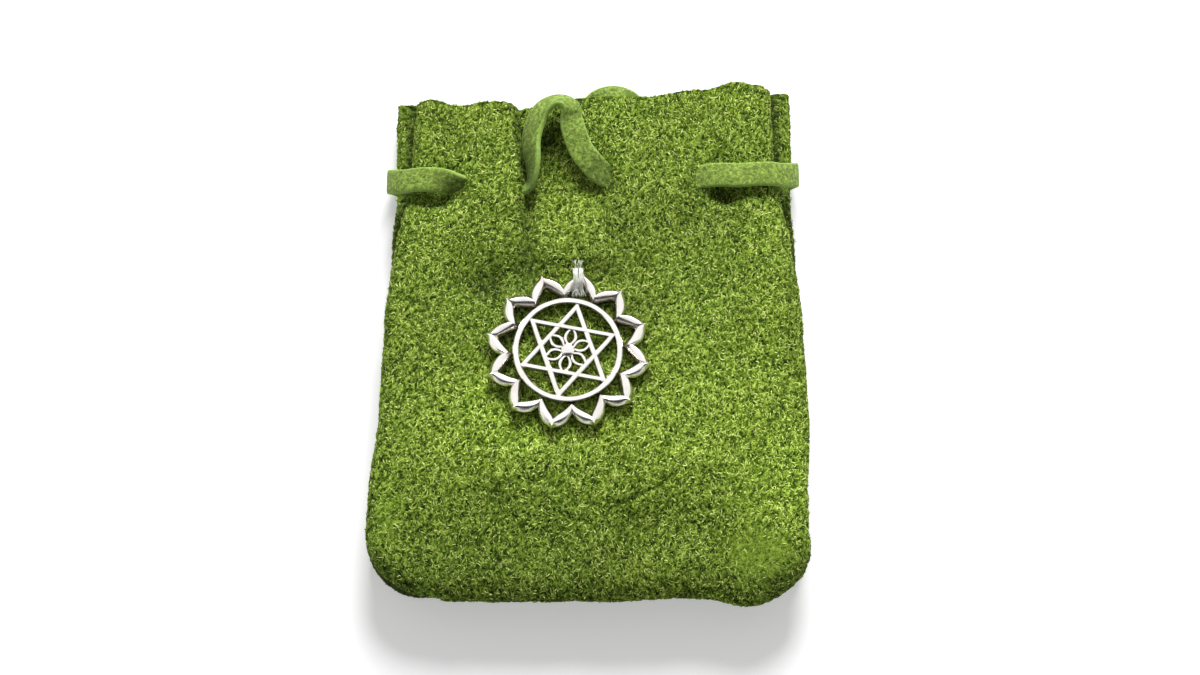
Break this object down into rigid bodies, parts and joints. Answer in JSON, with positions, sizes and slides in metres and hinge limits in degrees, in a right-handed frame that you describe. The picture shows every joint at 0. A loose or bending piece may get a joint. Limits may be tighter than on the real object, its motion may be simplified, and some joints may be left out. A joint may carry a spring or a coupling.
{
  "type": "drawstring medicine bag",
  "caption": "Small soft suede pouch gathered by a flat lace through slots at its neck, with a cast lotus charm sewn to the front.",
  "frame": {"origin": "middle of the flat face of the back panel that the pouch lies on", "axes": "+X across the pouch to the right, +Y towards its mouth, +Z out of its front"},
  "size_m": [0.0786, 0.1032, 0.0198],
  "materials": {
    "suede": "napped suede, matt",
    "lace": "smooth split suede, matt",
    "seam_thread": "twisted thread",
    "charm_thread": "pale frayed thread",
    "silver": "bright cast silver colour"
  },
  "bodies": {
    "bag": {"front_panel": "suede", "back_panel": "suede", "drawstring": "lace", "seam_thread": "seam_thread", "charm_thread": "charm_thread"},
    "charm": {"lotus_charm": "silver"}
  },
  "joints": [
    {"name": "charm_lift", "type": "hinge", "parent": "bag", "child": "charm", "pos_m": [-0.00178, 0.00921, 0.01605], "axis": [-1, 0, 0], "range_deg": [0, 100]}
  ]
}
